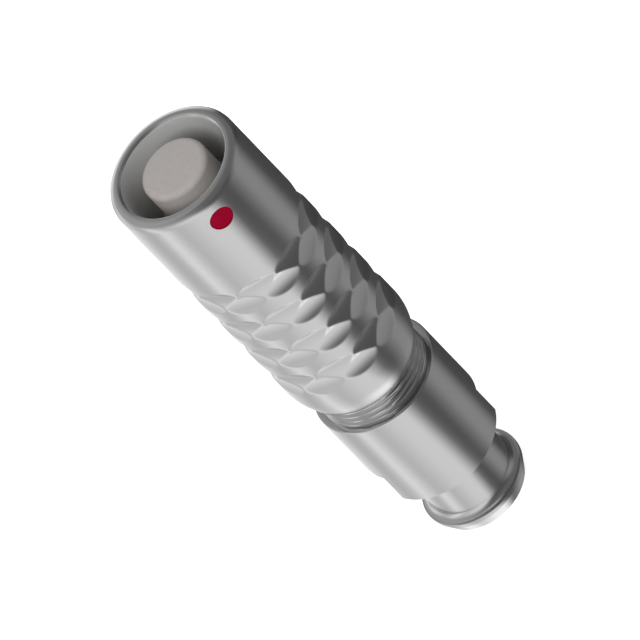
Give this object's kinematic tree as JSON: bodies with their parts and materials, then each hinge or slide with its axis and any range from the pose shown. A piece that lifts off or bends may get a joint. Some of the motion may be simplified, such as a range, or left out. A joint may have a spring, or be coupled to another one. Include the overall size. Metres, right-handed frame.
{
  "type": "circular push-pull connector",
  "caption": "Straight cable socket of a circular push-pull connector: dimpled round shell, centre insulator, collet nut on a fine thread, and a flared lip for a bend relief.",
  "frame": {"origin": "centre of the nut's rear lip face, on the connector's axis, which it stands on", "axes": "+Z along the axis from the cable end to the mating face, -Y to the alignment dot, +X and -X to the nut's wrench flats"},
  "size_m": [0.015, 0.015, 0.0616],
  "materials": {
    "satin_chrome": "satin",
    "nickelled_brass": "satin",
    "spring_steel": "satin",
    "gold_plate": "polished",
    "insulator_plastic": "matte",
    "red_lacquer": "gloss"
  },
  "bodies": {
    "nut": {"collet_nut": "satin_chrome"},
    "collet": {"collet": "nickelled_brass"},
    "shell": {"outer_shell": "satin_chrome", "alignment_dot": "red_lacquer", "insulator": "insulator_plastic", "carrier_half_a": "nickelled_brass", "carrier_half_b": "nickelled_brass", "earthing_crown": "nickelled_brass", "retaining_ring": "spring_steel", "contact_1": "gold_plate", "contact_2": "gold_plate", "contact_3": "gold_plate", "contact_4": "gold_plate", "contact_5": "gold_plate", "contact_6": "gold_plate", "contact_7": "gold_plate", "contact_8": "gold_plate", "contact_9": "gold_plate", "contact_10": "gold_plate", "contact_11": "gold_plate", "contact_12": "gold_plate"}
  },
  "joints": [
    {"name": "nut_turn", "type": "hinge", "parent": "nut", "child": "collet", "pos_m": [0, 0, 0], "axis": [0, 0, -1], "range_deg": [-2890, 1450]},
    {"name": "nut_advance", "type": "slide", "parent": "collet", "child": "shell", "axis": [0, 0, -1], "range_m": [-0.006, 0.003]}
  ],
  "couplings": [
    {"joint": "nut_turn", "follows": "nut_advance", "rad_per_m": 8377.6}
  ]
}
